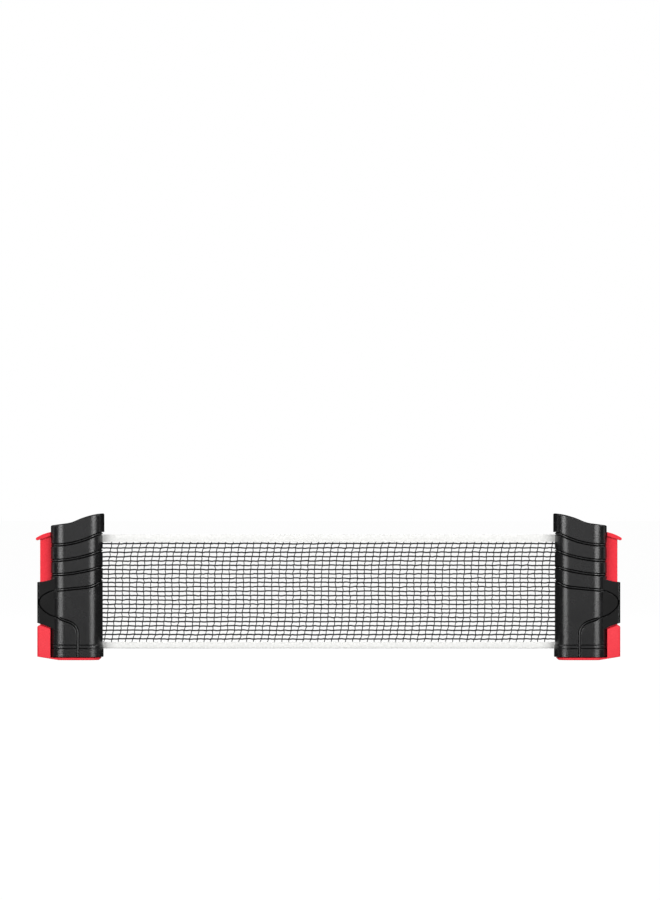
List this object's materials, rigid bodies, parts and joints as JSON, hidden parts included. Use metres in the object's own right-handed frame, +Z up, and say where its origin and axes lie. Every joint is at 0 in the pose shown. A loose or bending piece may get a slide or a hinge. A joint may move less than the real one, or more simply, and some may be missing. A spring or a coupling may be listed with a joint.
{
  "type": "retractable table tennis net",
  "caption": "Retractable table tennis net: mirrored spring-clamp posts with sliding jaws, thumb lips and finger grips, and a roll-up net wound on a sprung reel in one post.",
  "frame": {"origin": "on the floor under the feet, midway between the posts and midway front to back", "axes": "+Z up the posts, +X along the net from the reel post to the end post, -Y towards the near side"},
  "size_m": [0.7286, 0.048, 0.182],
  "materials": {
    "housing_black": "fine-grained moulded ABS",
    "slider_red": "satin moulded ABS",
    "pad_rubber": "matte",
    "screw_steel": "black zinc",
    "pin_steel": "ground",
    "spring_steel": "drawn wire",
    "bearing_white": "natural nylon",
    "tube_aluminium": "drawn",
    "net_thread": "knotted polyester",
    "tape_white": "woven cotton tape"
  },
  "bodies": {
    "left_post": {"left_front_shell": "housing_black", "left_rear_shell": "housing_black", "left_base_cap": "housing_black", "left_upper_jaw_pad": "pad_rubber", "left_shell_screws": "screw_steel", "left_base_screws": "screw_steel", "left_spring_anchor_pin": "pin_steel", "left_jaw_spring": "spring_steel", "spool_arbor": "pin_steel", "spool_bottom_bearing": "bearing_white", "spool_top_bearing": "bearing_white", "net_lead": "net_thread", "net_mesh": "net_thread", "net_top_tape": "tape_white", "net_bottom_tape": "tape_white"},
    "spool": {"spool_bottom_plug": "bearing_white", "spool_top_plug": "bearing_white", "spool_tube": "tube_aluminium", "retraction_spring": "spring_steel", "net_roll": "net_thread"},
    "left_jaw": {"left_jaw_slider": "slider_red", "left_lower_jaw_pad": "pad_rubber", "left_spring_hook_pin": "pin_steel"},
    "right_post": {"right_front_shell": "housing_black", "right_rear_shell": "housing_black", "right_base_cap": "housing_black", "right_upper_jaw_pad": "pad_rubber", "right_shell_screws": "screw_steel", "right_base_screws": "screw_steel", "right_spring_anchor_pin": "pin_steel", "right_jaw_spring": "spring_steel", "net_end_rod": "pin_steel"},
    "right_jaw": {"right_jaw_slider": "slider_red", "right_lower_jaw_pad": "pad_rubber", "right_spring_hook_pin": "pin_steel"}
  },
  "joints": [
    {"name": "left_jaw_open", "type": "slide", "parent": "left_post", "child": "left_jaw", "axis": [0, 0, -1], "range_m": [0, 0.046], "stiffness_N_per_m": 435, "springref_m": -0.0345, "deforming": ["left_jaw_spring"]},
    {"name": "net_pull", "type": "slide", "parent": "left_post", "child": "right_post", "axis": [1, 0, 0], "range_m": [-0.5585, 1.141], "deforming": ["net_mesh", "net_top_tape", "net_bottom_tape"]},
    {"name": "right_jaw_open", "type": "slide", "parent": "right_post", "child": "right_jaw", "axis": [0, 0, -1], "range_m": [0, 0.046], "stiffness_N_per_m": 435, "springref_m": -0.0345, "deforming": ["right_jaw_spring"]},
    {"name": "spool_spin", "type": "hinge", "parent": "left_post", "child": "spool", "pos_m": [-0.304, 0, 0.085], "axis": [0, 0, 1], "range_deg": [-2010, 4100]}
  ],
  "couplings": [
    {"joint": "spool_spin", "follows": "net_pull", "rad_per_m": 62.5}
  ]
}
